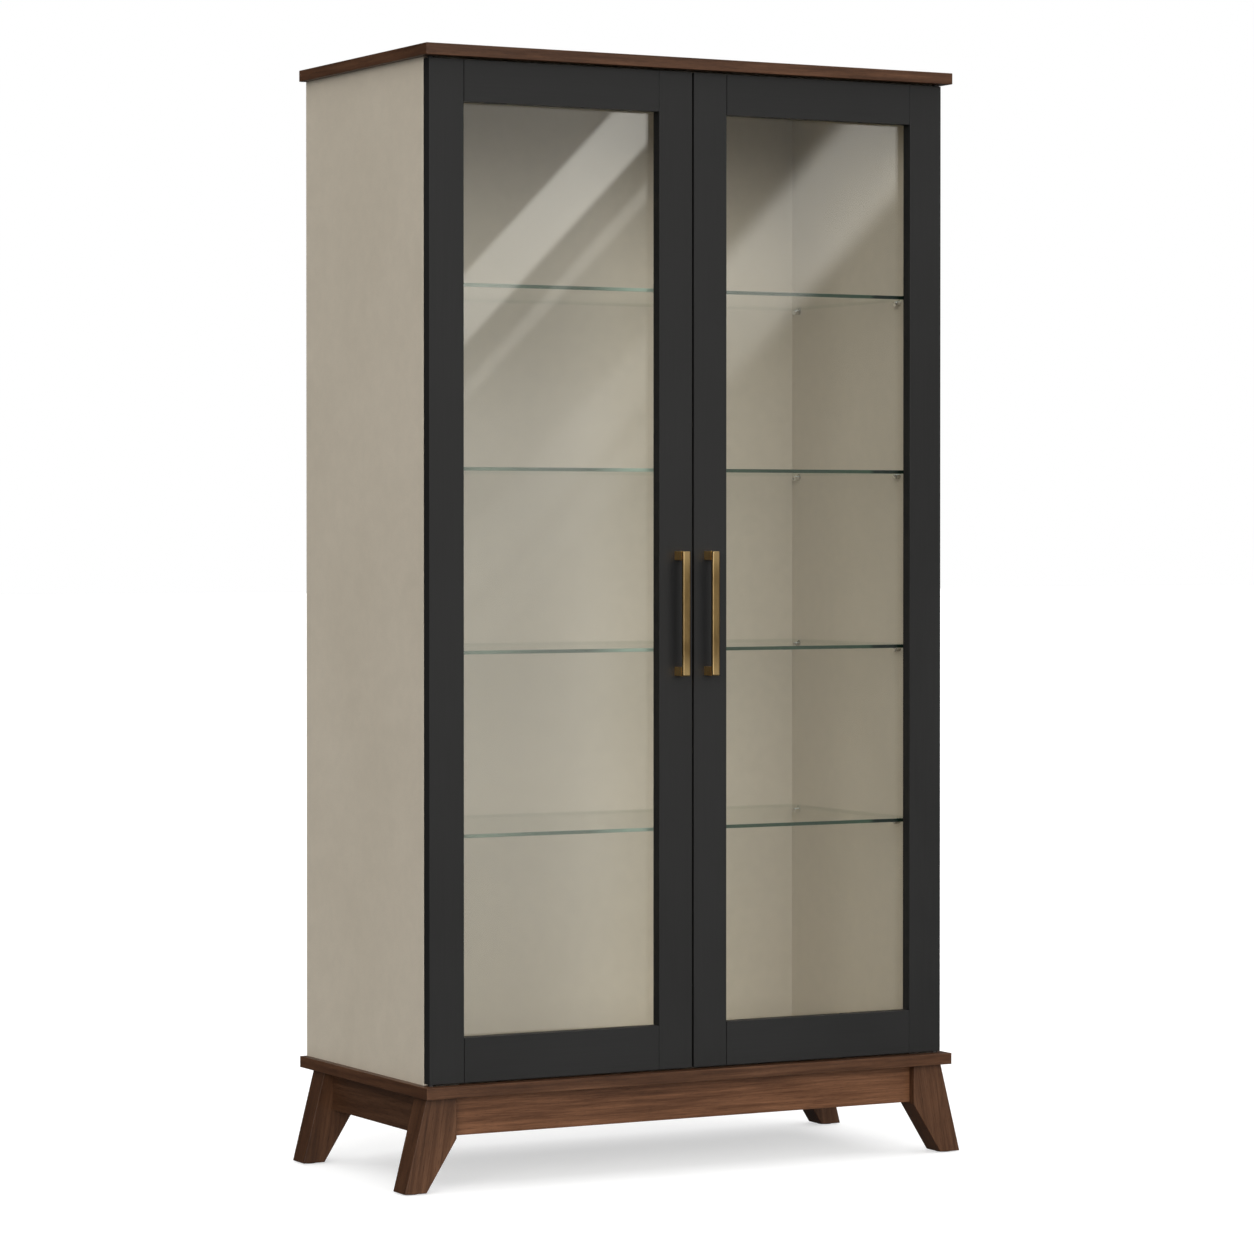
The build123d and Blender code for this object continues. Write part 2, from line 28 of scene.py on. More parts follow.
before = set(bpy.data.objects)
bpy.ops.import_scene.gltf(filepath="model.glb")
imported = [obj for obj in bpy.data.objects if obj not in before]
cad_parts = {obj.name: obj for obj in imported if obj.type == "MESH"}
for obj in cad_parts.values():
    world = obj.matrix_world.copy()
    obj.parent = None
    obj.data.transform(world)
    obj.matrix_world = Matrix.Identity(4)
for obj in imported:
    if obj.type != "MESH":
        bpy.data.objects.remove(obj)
cad_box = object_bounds()
SIDES = {"left": -1, "right": 1}


# ---------------------------------------------------------------- node building

# Places of the Mix node's sockets, which share their names between data types.
MIX_COLOURS_IN, MIX_COLOUR_OUT = (6, 7), 2
MIX_VECTORS_IN, MIX_VECTOR_OUT = (4, 5), 1

# The range that holds nearly all values of a noise.
MIDDLE = (0.3, 0.7)
# The same for the sum of two noises.
MIDDLE_OF_TWO = (0.7, 1.3)
# How far the pattern moves from one seed to the next, in metres.
SEED_STEP = (3.71, 1.37, 2.53)


class Tree:
    """Short calls that add nodes to one node tree."""

    def __init__(self, tree):
        self.tree = tree

    def node(self, kind, **settings):
        made = self.tree.nodes.new("ShaderNode" + kind)
        for name, value in settings.items():
            setattr(made, name, value)
        return made

    def put(self, socket, value):
        """Link an output to the socket, or set the socket's own value."""
        if isinstance(value, bpy.types.NodeSocket):
            self.tree.links.new(value, socket)
        else:
            socket.default_value = value

    def math(self, operation, a, b=0.0, clamp=False):
        made = self.node("Math", operation=operation, use_clamp=clamp)
        self.put(made.inputs[0], a)
        self.put(made.inputs[1], b)
        return made.outputs[0]

    def vector(self, operation, a, b):
        made = self.node("VectorMath", operation=operation)
        self.put(made.inputs[0], a)
        self.put(made.inputs[1], b)
        return made.outputs[0]

    def split(self, vector):
        made = self.node("SeparateXYZ")
        self.put(made.inputs[0], vector)
        return made.outputs

    def join(self, x, y, z):
        made = self.node("CombineXYZ")
        for socket, value in zip(made.inputs, (x, y, z)):
            self.put(socket, value)
        return made.outputs[0]

    def noise(self, vector, scale, detail=2.0, roughness=0.5, distortion=0.0):
        """Noise from 0 to 1. The scale is in cycles per metre, one for all axes or one for each."""
        made = self.node("TexNoise")
        if isinstance(scale, float):
            scale = (scale, scale, scale)
        self.put(made.inputs["Vector"], self.vector("MULTIPLY", vector, scale))
        self.put(made.inputs["Scale"], 1.0)
        self.put(made.inputs["Detail"], detail)
        self.put(made.inputs["Roughness"], roughness)
        self.put(made.inputs["Distortion"], distortion)
        return made.outputs["Fac"]

    def spread(self, value, low, high, to_low=0.0, to_high=1.0, kind="SMOOTHSTEP"):
        """The value taken from low..high to to_low..to_high."""
        made = self.node("MapRange", interpolation_type=kind)
        for socket, entry in zip(made.inputs, (value, low, high, to_low, to_high)):
            self.put(socket, entry)
        return made.outputs[0]

    def ramp(self, factor, stops):
        """The colour at the factor, between stops of (position, colour)."""
        made = self.node("ValToRGB")
        made.color_ramp.interpolation = "LINEAR"
        while len(made.color_ramp.elements) < len(stops):
            made.color_ramp.elements.new(0.5)
        for element, (position, colour) in zip(made.color_ramp.elements, stops):
            element.position = position
            element.color = (*colour, 1.0)
        self.put(made.inputs[0], factor)
        return made.outputs["Color"]

    def mix(self, factor, a, b, blend="MIX"):
        """Two colours mixed; a plain colour is a tuple of three."""
        made = self.node("Mix", data_type="RGBA", blend_type=blend)
        self.put(made.inputs[0], factor)
        for index, value in zip(MIX_COLOURS_IN, (a, b)):
            self.put(made.inputs[index], (*value, 1.0) if isinstance(value, tuple) else value)
        return made.outputs[MIX_COLOUR_OUT]

    def scale_colour(self, colour, by):
        """The colour times a number that changes over the surface."""
        return self.mix(1.0, colour, self.join(by, by, by), "MULTIPLY")

    def vary(self, colour, noise, low, high):
        """The colour times low to high, as the noise goes through its middle range."""
        return self.scale_colour(colour, self.spread(noise, *MIDDLE, low, high))

    def mix_shaders(self, factor, a, b):
        made = self.node("MixShader")
        for socket, value in zip(made.inputs, (factor, a.outputs[0], b.outputs[0])):
            self.put(socket, value)
        return made

    def bump(self, height, distance, strength, below=None):
        """A normal that follows the height, which rises by the distance in metres, over the normal below."""
        made = self.node("Bump")
        self.put(made.inputs["Strength"], strength)
        self.put(made.inputs["Distance"], distance)
        self.put(made.inputs["Height"], height)
        if below is not None:
            self.put(made.inputs["Normal"], below)
        return made.outputs[0]


def new_material(name):
    """A material with an empty tree, its output node and short calls for the tree."""
    material = bpy.data.materials.new(name)
    material.use_nodes = True
    material.node_tree.nodes.clear()
    t = Tree(material.node_tree)
    return material, t, t.node("OutputMaterial")


def principled(t, output, **sockets):
    """One Principled shader on the output, its sockets named in lower case."""
    shader = t.node("BsdfPrincipled")
    for name, value in sockets.items():
        t.put(shader.inputs[name.replace("_", " ").title().replace("Ior", "IOR")], value)
    t.put(output.inputs["Surface"], shader.outputs[0])


def point(t):
    """The point on the piece, in the shared frame."""
    return t.node("TexCoord").outputs["Object"]


def place(t, seed):
    """The point on the piece, moved into a part of the pattern that no other piece uses."""
    return t.vector("ADD", point(t), tuple(step * seed for step in SEED_STEP))


def facing(t, axis):
    """How squarely the surface faces along an axis, either way: 0 to 1."""
    return t.math("ABSOLUTE", t.split(t.node("TexCoord").outputs["Normal"])["XYZ".index(axis)])


def end_distance(t, node, axis):
    """How far the point is from the nearer end of a node along an axis."""
    low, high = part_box(node)
    n = "XYZ".index(axis)
    along = t.split(point(t))[n]
    return t.math("MINIMUM", t.math("SUBTRACT", along, low[n]), t.math("SUBTRACT", high[n], along))


def edge_mask(t, node, width):
    """1 on the edges of a box-shaped node, falling to 0 at width from them."""
    low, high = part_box(node)
    at = point(t)
    from_low = t.vector("SUBTRACT", at, tuple(low))
    from_high = t.vector("SUBTRACT", tuple(high), at)
    inside = t.vector("MINIMUM", from_low, from_high)
    x, y, z = t.split(inside)
    total = t.math("ADD", t.math("ADD", x, y), z)
    second = t.math("SUBTRACT", total, t.math("MAXIMUM", t.math("MAXIMUM", x, y), z))
    return t.spread(second, 0.0, width, 1.0, 0.0)


def rubbed(t, node, at, colour, width, strength, paler):
    """The colour with its edges rubbed paler, unevenly, as handling does."""
    patches = t.spread(t.noise(at, 9.0, 3.0), 0.42, 0.68)
    fine = t.spread(t.noise(at, 260.0), *MIDDLE, 0.35, 1.0)
    mask = t.math("MULTIPLY", edge_mask(t, node, width), t.math("MULTIPLY", patches, fine))
    return t.mix(t.math("MULTIPLY", mask, strength), colour, paler)


# ---------------------------------------------------------------- wood

WALNUT_STOPS = [
    (0.00, (0.021, 0.0080, 0.0032)),
    (0.35, (0.048, 0.0198, 0.0088)),
    (0.60, (0.078, 0.0340, 0.0160)),
    (1.00, (0.140, 0.0660, 0.0340)),
]
BEECH_STOPS = [
    (0.0, (0.40, 0.26, 0.14)),
    (0.5, (0.52, 0.36, 0.21)),
    (1.0, (0.62, 0.46, 0.29)),
]
# Cycles per metre along the grain and across it, for each layer of the wood.
FIGURE = (1.1, 9.0, 9.0)
STREAK = (5.0, 150.0, 150.0)
FIBRE = (26.0, 850.0, 850.0)
PORES = (75.0, 2100.0, 2100.0)
FIGURE_SHARE, STREAK_SHARE, FIBRE_SHARE = 0.34, 0.46, 0.20
PATCHES = 2.2
PORE_TONE = 0.62
PORE_ROUGHNESS = 0.15
SATIN, SAWN = 0.38, 0.6


def grain_vector(t, at, axis, tilt):
    """The point with its first coordinate along the grain, tilted in the XZ plane."""
    if tilt:
        turned = t.node("VectorRotate", rotation_type="Y_AXIS")
        t.put(turned.inputs["Vector"], at)
        t.put(turned.inputs["Angle"], tilt)
        at = turned.outputs[0]
    x, y, z = t.split(at)
    return {"X": at, "Y": t.join(y, x, z), "Z": t.join(z, y, x)}[axis]


def banded_vector(t, at):
    """Grain along X, and along Y on the left and right ends, where edging covers the board."""
    x, y, z = t.split(at)
    made = t.node("Mix", data_type="VECTOR")
    t.put(made.inputs[0], t.math("GREATER_THAN", facing(t, "X"), 0.7))
    for index, value in zip(MIX_VECTORS_IN, (at, t.join(y, x, z))):
        t.put(made.inputs[index], value)
    return made.outputs[MIX_VECTOR_OUT]


def wood(
    name, node, seed, axis="X", tilt=0.0, stops=WALNUT_STOPS, finish=SATIN, banded=False, boxed=True, tint=1.0
):
    """Open-grained wood under a thin finish, grain along one axis. A boxed piece has edges that wear."""
    material, t, output = new_material(name)
    at = place(t, seed)
    along = banded_vector(t, at) if banded else grain_vector(t, at, axis, tilt)
    figure = t.noise(along, FIGURE, 3.0, 0.55, 0.7)
    streak = t.noise(along, STREAK, 5.0, 0.62, 0.25)
    fibre = t.noise(along, FIBRE, 2.0, 0.6)
    open_pores = t.spread(t.noise(along, PORES, 1.0), 0.60, 0.70)
    tone = t.math("MULTIPLY", figure, FIGURE_SHARE)
    tone = t.math("ADD", tone, t.math("MULTIPLY", streak, STREAK_SHARE))
    tone = t.math("ADD", tone, t.math("MULTIPLY", fibre, FIBRE_SHARE))
    colour = t.ramp(t.spread(tone, *MIDDLE, kind="LINEAR"), stops)
    colour = t.scale_colour(colour, t.spread(open_pores, 0.0, 1.0, 1.0, PORE_TONE))
    # The tint scales the tone: above 1 it is painted light, below 1 painted shade.
    colour = t.vary(colour, t.noise(at, PATCHES), 0.92 * tint, 1.08 * tint)
    if boxed:
        paler = tuple(min(1.6 * c, 1.0) for c in stops[-1][1])
        colour = rubbed(t, node, at, colour, 0.0016, 0.30, paler)
    roughness = t.spread(streak, *MIDDLE, finish - 0.05, finish + 0.08)
    roughness = t.math("ADD", roughness, t.math("MULTIPLY", open_pores, PORE_ROUGHNESS), clamp=True)
    normal = t.bump(t.math("ADD", fibre, streak), 0.00012, 0.45)
    normal = t.bump(t.math("SUBTRACT", 1.0, open_pores), 0.00010, 0.5, normal)
    principled(t, output, base_color=colour, roughness=roughness, normal=normal, specular_ior_level=0.20)
    return material


# ---------------------------------------------------------------- painted boards

GREIGE_RANGE = ((0.505, 0.450, 0.362), (0.535, 0.478, 0.388))
GREIGE_RUBBED = (0.66, 0.62, 0.54)
CHARCOAL_RANGE = ((0.0098, 0.0099, 0.0100), (0.0128, 0.0129, 0.0130))
CHARCOAL_RUBBED = (0.070, 0.068, 0.066)
# Charcoal faces that are turned sideways are darker by this share, as painted shade, and rougher by this
# much.
SIDEWAYS_PAINTED_SHADE = 0.15
SIDEWAYS_ROUGHER = 0.25


def greige(name, node, seed):
    """Matt warm grey melamine: a fine pressed texture and very faint clouds of tone."""
    material, t, output = new_material(name)
    at = place(t, seed)
    clouds = t.noise(at, 2.4, 3.0, 0.55)
    mottle = t.noise(at, 46.0, 4.0, 0.6)
    speck = t.noise(at, 900.0, 1.0)
    colour = t.mix(t.spread(clouds, *MIDDLE), *GREIGE_RANGE)
    colour = t.vary(colour, mottle, 0.975, 1.025)
    colour = t.scale_colour(colour, t.spread(speck, 0.25, 0.75, 0.965, 1.03))
    colour = rubbed(t, node, at, colour, 0.0012, 0.35, GREIGE_RUBBED)
    roughness = t.spread(mottle, *MIDDLE, 0.50, 0.62)
    normal = t.bump(speck, 0.00005, 0.5)
    normal = t.bump(mottle, 0.00012, 0.18, normal)
    principled(t, output, base_color=colour, roughness=roughness, normal=normal, specular_ior_level=0.38)
    return material


def charcoal(name, node, seed, axis):
    """Matt charcoal lacquer with a trace of the wood's grain and paler rubbed edges."""
    material, t, output = new_material(name)
    at = place(t, seed)
    along = grain_vector(t, at, axis, 0.0)
    grain = t.noise(along, (9.0, 420.0, 420.0), 4.0, 0.6)
    peel = t.noise(at, 620.0, 1.0)
    clouds = t.noise(at, 3.0, 3.0)
    colour = t.mix(t.spread(clouds, *MIDDLE), *CHARCOAL_RANGE)
    colour = t.vary(colour, grain, 0.90, 1.10)
    colour = rubbed(t, node, at, colour, 0.0011, 0.22, CHARCOAL_RUBBED)
    # Painted shade: faces turned sideways, to the left and the right, are darker.
    sideways = t.spread(facing(t, "X"), 0.6, 0.9)
    colour = t.scale_colour(colour, t.math("SUBTRACT", 1.0, t.math("MULTIPLY", sideways, SIDEWAYS_PAINTED_SHADE)))
    roughness = t.spread(t.math("ADD", grain, clouds), *MIDDLE_OF_TWO, 0.44, 0.56)
    roughness = t.math("ADD", roughness, t.math("MULTIPLY", sideways, SIDEWAYS_ROUGHER), clamp=True)
    normal = t.bump(peel, 0.00004, 0.35)
    normal = t.bump(grain, 0.00008, 0.40, normal)
    principled(t, output, base_color=colour, roughness=roughness, normal=normal, specular_ior_level=0.25)
    return material


# ---------------------------------------------------------------- metals and plastics

BRASS_BAR_RANGE = ((0.125, 0.082, 0.034), (0.200, 0.136, 0.058))
BRASS_POST_RANGE = ((0.76, 0.48, 0.17), (0.95, 0.64, 0.26))
BRASS_SPOT = (0.10, 0.06, 0.028)
# Painted highlights: the paler brass towards the ends of the bar and along its edges.
BRASS_END_HIGHLIGHT = (0.33, 0.235, 0.11)
BRASS_EDGE_HIGHLIGHT = (0.42, 0.29, 0.135)
BRIGHT_END_LENGTH = 0.045
BRIGHT_EDGE_WIDTH = 0.0024
NICKEL_RANGE = ((0.36, 0.35, 0.33), (0.96, 0.95, 0.93))
ZINC_RANGE = ((0.42, 0.42, 0.41), (0.58, 0.58, 0.56))
SOFT_PAD_RANGE = ((0.55, 0.58, 0.57), (0.66, 0.69, 0.68))
NYLON_RANGE = ((0.012, 0.010, 0.009), (0.026, 0.022, 0.019))
CATCH_RANGE = ((0.060, 0.052, 0.045), (0.085, 0.075, 0.064))


def brass(name, node, seed, colours, boxed=True):
    """Antique brass brushed along Z. A boxed piece is brown in the middle with painted highlights at ends and
    edges.
    """
    material, t, output = new_material(name)
    at = place(t, seed)
    brushed = t.noise(at, (2300.0, 2300.0, 30.0), 2.0, 0.6)
    patina = t.noise(at, (38.0, 38.0, 16.0), 4.0, 0.6, 0.4)
    spots = t.spread(t.noise(at, 420.0), 0.66, 0.74)
    colour = t.mix(t.spread(patina, 0.30, 0.72), *colours)
    colour = t.vary(colour, brushed, 0.86, 1.10)
    colour = t.mix(t.math("MULTIPLY", spots, 0.45), colour, BRASS_SPOT)
    if boxed:
        # Painted highlights: paler towards each end, and unevenly along the edges.
        to_end = end_distance(t, node, "Z")
        colour = t.mix(t.spread(to_end, 0.0, BRIGHT_END_LENGTH, 0.75, 0.0), colour, BRASS_END_HIGHLIGHT)
        edge_highlight = t.spread(patina, 0.2, 0.6, 0.35, 0.80)
        edge_highlight = t.math("MULTIPLY", edge_mask(t, node, BRIGHT_EDGE_WIDTH), edge_highlight)
        colour = t.mix(edge_highlight, colour, BRASS_EDGE_HIGHLIGHT)
    roughness = t.spread(brushed, *MIDDLE, 0.30, 0.42)
    roughness = t.math("ADD", roughness, t.spread(patina, *MIDDLE, 0.06, -0.03), clamp=True)
    normal = t.bump(brushed, 0.00003, 0.35)
    principled(t, output, base_color=colour, metallic=1.0, roughness=roughness, normal=normal)
    return material


def plated(name, seed, colours, rough_low, rough_high):
    """Plated metal with fine polishing marks and slight clouding."""
    material, t, output = new_material(name)
    at = place(t, seed)
    cloud = t.noise(at, 150.0, 3.0)
    marks = t.noise(at, (3200.0, 900.0, 3200.0))
    colour = t.mix(t.spread(cloud, *MIDDLE), *colours)
    roughness = t.spread(t.math("ADD", cloud, marks), *MIDDLE_OF_TWO, rough_low, rough_high)
    normal = t.bump(marks, 0.00002, 0.3)
    principled(t, output, base_color=colour, metallic=1.0, roughness=roughness, normal=normal)
    return material


def moulded(name, seed, colours, finish):
    """Moulded plastic with a fine texture."""
    material, t, output = new_material(name)
    at = place(t, seed)
    cloud = t.noise(at, 60.0, 3.0)
    texture = t.noise(at, 900.0)
    colour = t.mix(t.spread(cloud, *MIDDLE), *colours)
    roughness = t.spread(texture, *MIDDLE, finish - 0.06, finish + 0.08)
    normal = t.bump(texture, 0.00006, 0.5)
    principled(t, output, base_color=colour, roughness=roughness, normal=normal)
    return material


# ---------------------------------------------------------------- glass

# The share of light that a glass face mirrors straight on, and what is added at a grazing angle.
MIRRORED_STRAIGHT_ON = 0.04
PANE_ADDS, SHELF_ADDS = 0.96, 0.10
PANE_TINT = (0.972, 0.978, 0.972, 1.0)
PANE_MIRROR_TINT = (0.95, 0.97, 0.98, 1.0)
SHELF_TINT = (0.992, 0.996, 0.993, 1.0)
SHELF_MIRROR_TINT = (0.99, 1.0, 0.99, 1.0)
SHELF_SIDE_TINT = (0.930, 0.945, 0.932, 1.0)
# The pale colour of the painted highlight along the top and bottom arrises of a shelf's front edge.
SHELF_ARRIS_HIGHLIGHT = (0.34, 0.37, 0.33)
# The green front edge fades out between these depths behind the shelf's front face, in metres.
FRONT_EDGE = (0.0010, 0.0020)


def mirrored_share(t, adds):
    """How much a glass face mirrors: little straight on, and more at a grazing angle."""
    angle = t.node("LayerWeight")
    t.put(angle.inputs["Blend"], 0.5)
    rise = t.math("POWER", angle.outputs["Facing"], 5.0)
    return t.math("ADD", t.math("MULTIPLY", rise, adds), MIRRORED_STRAIGHT_ON)


def glass_face(t, tint, mirror_tint, roughness, adds):
    """A face that lets light straight through and mirrors a little."""
    clear = t.node("BsdfTransparent")
    t.put(clear.inputs["Color"], tint)
    mirror = t.node("BsdfGlossy")
    t.put(mirror.inputs["Color"], mirror_tint)
    t.put(mirror.inputs["Roughness"], roughness)
    return t.mix_shaders(mirrored_share(t, adds), clear, mirror)


def pane_glass(name, seed):
    """A flat clear pane: it lets light straight through and mirrors a little of the room."""
    material, t, output = new_material(name)
    smears = t.noise(place(t, seed), (2.5, 2.5, 5.0), 4.0, 0.6)
    roughness = t.spread(smears, 0.35, 0.75, 0.010, 0.020)
    face = glass_face(t, PANE_TINT, PANE_MIRROR_TINT, roughness, PANE_ADDS)
    t.put(output.inputs["Surface"], face.outputs[0])
    return material


# The green along a shelf's front edge, from its left end to its right end, with painted light and shade: pale
# stretches, dark stretches, and a near-black right end that is a painted reflection of the dark stile.
SHELF_EDGE_PAINTED_LIGHT = [
    (0.000, (0.120, 0.160, 0.115)),
    (0.110, (0.100, 0.140, 0.098)),
    (0.200, (0.036, 0.064, 0.040)),
    (0.310, (0.034, 0.062, 0.038)),
    (0.390, (0.250, 0.330, 0.265)),
    (0.460, (0.400, 0.480, 0.400)),
    (0.500, (0.050, 0.090, 0.060)),
    (0.620, (0.030, 0.054, 0.033)),
    (0.780, (0.020, 0.040, 0.024)),
    (0.895, (0.030, 0.056, 0.035)),
    (0.903, (0.001, 0.008, 0.004)),
    (1.000, (0.001, 0.010, 0.005)),
]


def shelf_glass(name, node, seed):
    """Clear glass whose front edge is green, with light and dark painted along its length for the light it
    pipes.
    """
    material, t, output = new_material(name)
    low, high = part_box(node)
    at = place(t, seed)
    x, y, _ = t.split(point(t))
    smears = t.noise(at, 5.0, 4.0, 0.6)
    roughness = t.spread(smears, 0.4, 0.8, 0.01, 0.05)
    face = glass_face(t, SHELF_TINT, SHELF_MIRROR_TINT, roughness, SHELF_ADDS)

    # Painted light and shade along the edge, from the stops.
    green = t.ramp(t.spread(x, low[0], high[0], kind="LINEAR"), SHELF_EDGE_PAINTED_LIGHT)
    green = t.vary(green, t.noise(at, 4.0), 0.80, 1.15)
    # Painted highlight: a thin pale line along the top and bottom arrises of the front edge.
    arris_highlight = t.spread(end_distance(t, node, "Z"), 0.0002, 0.0006, 0.12, 0.0)
    green = t.mix(arris_highlight, green, SHELF_ARRIS_HIGHLIGHT)
    edge = t.node("BsdfPrincipled")
    t.put(edge.inputs["Base Color"], green)
    t.put(edge.inputs["Roughness"], t.spread(smears, 0.3, 0.8, 0.30, 0.45))
    t.put(edge.inputs["Specular IOR Level"], 0.12)
    tinted = t.node("BsdfTransparent")
    t.put(tinted.inputs["Color"], SHELF_SIDE_TINT)
    front = t.spread(y, *(low[1] + depth for depth in FRONT_EDGE), 1.0, 0.0)
    rim = t.mix_shaders(front, tinted, edge)

    level = t.spread(facing(t, "Z"), 0.85, 0.97)
    t.put(output.inputs["Surface"], t.mix_shaders(level, rim, face).outputs[0])
    return material


# ---------------------------------------------------------------- what each node wears
# Every piece of wood, board, pane and shelf has a seed of its own, so no two show the same pattern.

WALNUT_BOARDS = ("top_board", "base_board")
# The axis of each apron's grain, and its tone where 1 is the tone of the boards. The tones are painted light
# and shade: the front apron is made paler to stand for light that its face, recessed under the board, doesn't
# get, and the left apron is darker as painted shade.
WALNUT_APRONS = {
    "apron_front": ("X", 2.05),
    "apron_back": ("X", 1.0),
    "apron_left": ("Y", 0.88),
    "apron_right": ("Y", 1.0),
}
# The grain of a leg follows its splay.
LEG_TILT = math.radians(9.0)
GREIGE_PANELS = (
    "side_panel_left", "side_panel_right", "carcass_top_panel", "carcass_bottom_panel", "back_panel",
)
SHELVES = 4
DOOR_FRAME = {"hinge_stile": "Z", "meeting_stile": "Z", "top_rail": "X", "bottom_rail": "X"}
ZINC = (
    "cam_locks", "cam_bolts", "board_screws", "base_frame_screws", "back_panel_screws",
    "hinge_case_leaves", "case_hardware_screws", "catch_magnets",
)
DOOR_ZINC = ("handle_screws", "hinge_leaves", "hinge_screws", "strike_plate")


def wear(node, material):
    """Give a CAD node its material."""
    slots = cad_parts[node].material_slots
    if not slots:
        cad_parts[node].data.materials.append(material)
    for slot in slots:
        slot.material = material


def dress_wood():
    for seed, node in enumerate(WALNUT_BOARDS, start=1):
        wear(node, wood("walnut_" + node, node, seed, banded=True))
    for seed, (node, (axis, tint)) in enumerate(WALNUT_APRONS.items(), start=4):
        wear(node, wood("walnut_" + node, node, seed, axis, tint=tint))
    for seed, row in enumerate(("front", "back"), start=10):
        for name, s in SIDES.items():
            node = f"leg_{row}_{name}"
            wear(node, wood("walnut_" + node, node, seed + 0.3 * s, "Z", s * LEG_TILT, boxed=False))
    for seed, node in enumerate(("corner_blocks", "carcass_dowels"), start=20):
        wear(node, wood("beech_" + node, node, seed, stops=BEECH_STOPS, finish=SAWN, boxed=False))


def dress_case():
    for seed, node in enumerate(GREIGE_PANELS, start=30):
        wear(node, greige("greige_" + node, node, seed))
    for number in range(1, SHELVES + 1):
        node = f"glass_shelf_{number}"
        wear(node, shelf_glass("edge_lit_" + node, node, 60 + number))
    wear("shelf_supports", plated("nickel", 41, NICKEL_RANGE, 0.06, 0.16))
    wear("shelf_support_pads", moulded("clear_pad", 42, SOFT_PAD_RANGE, 0.35))
    nylon = moulded("dark_nylon", 43, NYLON_RANGE, 0.55)
    wear("foot_glides", nylon)
    wear("hinge_washers", nylon)
    wear("catch_body", moulded("catch_plastic", 44, CATCH_RANGE, 0.45))


def dress_metal():
    """The zinc-plated fittings of the case and the doors, which share one material."""
    zinc = plated("zinc", 45, ZINC_RANGE, 0.26, 0.42)
    for node in ZINC:
        wear(node, zinc)
    for name in SIDES:
        for part in DOOR_ZINC:
            wear(f"{name}_door_{part}", zinc)


def dress_door(name, s):
    seed = 50 + 5 * s
    for step, (part, axis) in enumerate(DOOR_FRAME.items()):
        node = f"{name}_door_{part}"
        wear(node, charcoal("charcoal_" + node, node, seed + step, axis))
    beads = f"{name}_door_glazing_beads"
    wear(beads, charcoal("charcoal_" + beads, beads, seed + 4.5, "Z"))
    wear(f"{name}_door_glass", pane_glass(f"{name}_pane", seed))
    bar = f"{name}_door_handle_bar"
    wear(bar, brass("brass_" + bar, bar, seed, BRASS_BAR_RANGE))
    posts = f"{name}_door_handle_posts"
    wear(posts, brass("brass_" + posts, posts, seed + 1, BRASS_POST_RANGE, boxed=False))
    dowels = f"{name}_door_dowels"
    wear(dowels, wood("beech_" + dowels, dowels, seed, stops=BEECH_STOPS, finish=SAWN, boxed=False))


# ---------------------------------------------------------------- studio

WHITE = (1.0, 1.0, 1.0, 1.0)
# The room's brightness by direction, each as (from, to, brightness at from, brightness at to).
ROOM_UPWARDS = (-0.1, 0.9, 0.80, 0.66)
ROOM_RIGHTWARDS = (-0.9, 0.9, 0.72, 1.05)
ROOM_BACKWARDS = (-0.9, 0.4, 1.0, 0.32)
MIRRORED_ROOM = 0.30
FLOOR_SIZE = 120.0
# The floor's own tone and glow for the camera, and its tone for the light that it throws back.
FLOOR_TONE = 0.60
FLOOR_GLOW = 0.55
FLOOR_BOUNCE = 0.26


def make_world():
    """A pale room, brighter low down, at the right and in front, and plain white where the camera sees it."""
    world = bpy.data.worlds.new("studio")
    bpy.context.scene.world = world
    world.use_nodes = True
    world.node_tree.nodes.clear()
    t = Tree(world.node_tree)
    x, y, z = t.split(t.node("TexCoord").outputs["Generated"])
    brightness = t.math("MULTIPLY", t.spread(z, *ROOM_UPWARDS), t.spread(x, *ROOM_RIGHTWARDS))
    brightness = t.math("MULTIPLY", brightness, t.spread(y, *ROOM_BACKWARDS))
    ray = t.node("LightPath").outputs
    room = t.node("Background")
    t.put(room.inputs["Color"], t.join(brightness, brightness, brightness))
    t.put(room.inputs["Strength"], t.spread(ray["Is Glossy Ray"], 0.0, 1.0, 1.0, MIRRORED_ROOM))
    seen = t.node("Background")
    t.put(seen.inputs["Color"], WHITE)
    both = t.mix_shaders(ray["Is Camera Ray"], room, seen)
    t.put(t.node("OutputWorld").inputs["Surface"], both.outputs[0])


def flat_face(name, corners):
    """An object of one four-cornered face, and the tree and output of its new material."""
    mesh = bpy.data.meshes.new(name)
    mesh.from_pydata(corners, [], [(0, 1, 2, 3)])
    made = bpy.data.objects.new(name, mesh)
    bpy.context.scene.collection.objects.link(made)
    material, t, output = new_material(name)
    mesh.materials.append(material)
    return made, t, output


def make_floor():
    """A white sweep that shows the soft shadow and fades into the background."""
    half = FLOOR_SIZE / 2
    corners = [(-half, -half, 0), (half, -half, 0), (half, half, 0), (-half, half, 0)]
    floor, t, output = flat_face("studio_floor", corners)
    seen = t.node("LightPath").outputs["Is Camera Ray"]
    paint = t.node("BsdfDiffuse")
    tone = t.spread(t.noise(point(t), 5.0, 3.0), *MIDDLE, 0.98, 1.02)
    tone = t.math("MULTIPLY", tone, t.spread(seen, 0.0, 1.0, FLOOR_BOUNCE, FLOOR_TONE))
    t.put(paint.inputs["Color"], t.join(tone, tone, tone))
    glow = t.node("Emission")
    t.put(glow.inputs["Strength"], t.math("MULTIPLY", seen, FLOOR_GLOW))
    both = t.node("AddShader")
    t.put(both.inputs[0], paint.outputs[0])
    t.put(both.inputs[1], glow.outputs[0])
    t.put(output.inputs["Surface"], both.outputs[0])
    floor.visible_glossy = False


